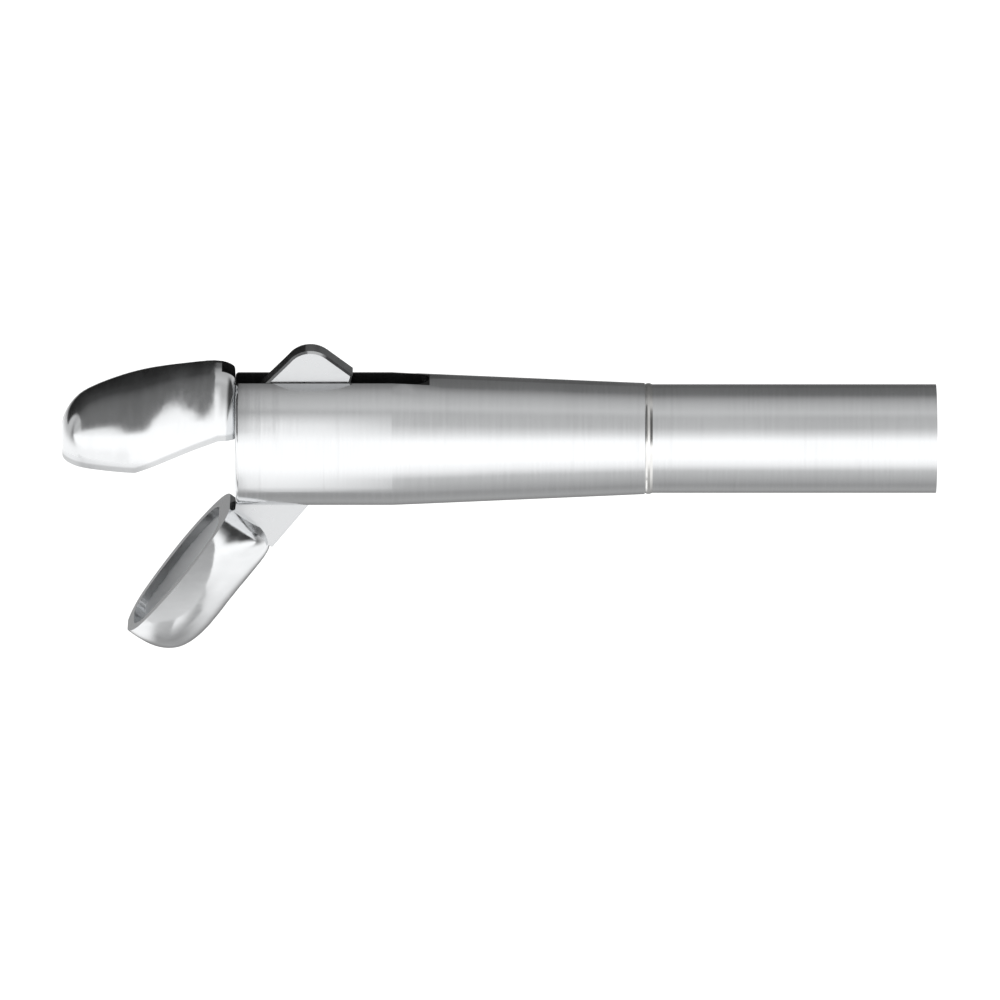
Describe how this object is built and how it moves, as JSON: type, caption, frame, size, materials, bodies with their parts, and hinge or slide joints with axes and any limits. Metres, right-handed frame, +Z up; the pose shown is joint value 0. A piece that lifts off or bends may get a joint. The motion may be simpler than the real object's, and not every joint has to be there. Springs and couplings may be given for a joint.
{
  "type": "biopsy forceps working end",
  "caption": "Working end of a rigid biopsy forceps: a fixed upper cup jaw and a pivoting lower cup jaw in a slotted housing on a round shaft, worked by a push rod.",
  "frame": {"origin": "centre of the shaft tube's cut end, on the shaft axis", "axes": "+X along the shaft towards the handle, jaws towards -X, +Z up (fixed jaw on top), +Y away from the camera of the picture"},
  "size_m": [0.0402, 0.0062, 0.0148],
  "materials": {
    "shaft_steel": "polished",
    "housing_steel": "polished",
    "jaw_steel": "polished",
    "pin_steel": "ground",
    "drive_steel": "ground",
    "braze": "polished braze",
    "bush_plastic": "machined"
  },
  "bodies": {
    "shaft": {"shaft_tube": "shaft_steel", "braze_ring": "braze", "jaw_housing": "housing_steel", "fixed_jaw": "jaw_steel", "pivot_pin": "pin_steel", "front_guide_bush": "bush_plastic", "rear_guide_bush": "bush_plastic"},
    "lower_jaw": {"moving_jaw": "jaw_steel"},
    "drive": {"drive_fork": "drive_steel", "drive_pin": "pin_steel", "drive_rod": "drive_steel", "rod_cross_pin": "pin_steel"}
  },
  "joints": [
    {"name": "jaw_hinge", "type": "hinge", "parent": "shaft", "child": "lower_jaw", "pos_m": [-0.03, 0, -0.00205], "axis": [0, 1, 0], "range_deg": [0, 52.2]},
    {"name": "drive_slide", "type": "slide", "parent": "shaft", "child": "drive", "axis": [1, 0, 0], "range_m": [0, 0.00273]}
  ],
  "couplings": [
    {"joint": "jaw_hinge", "follows": "drive_slide", "rad_per_m": 333.33}
  ]
}
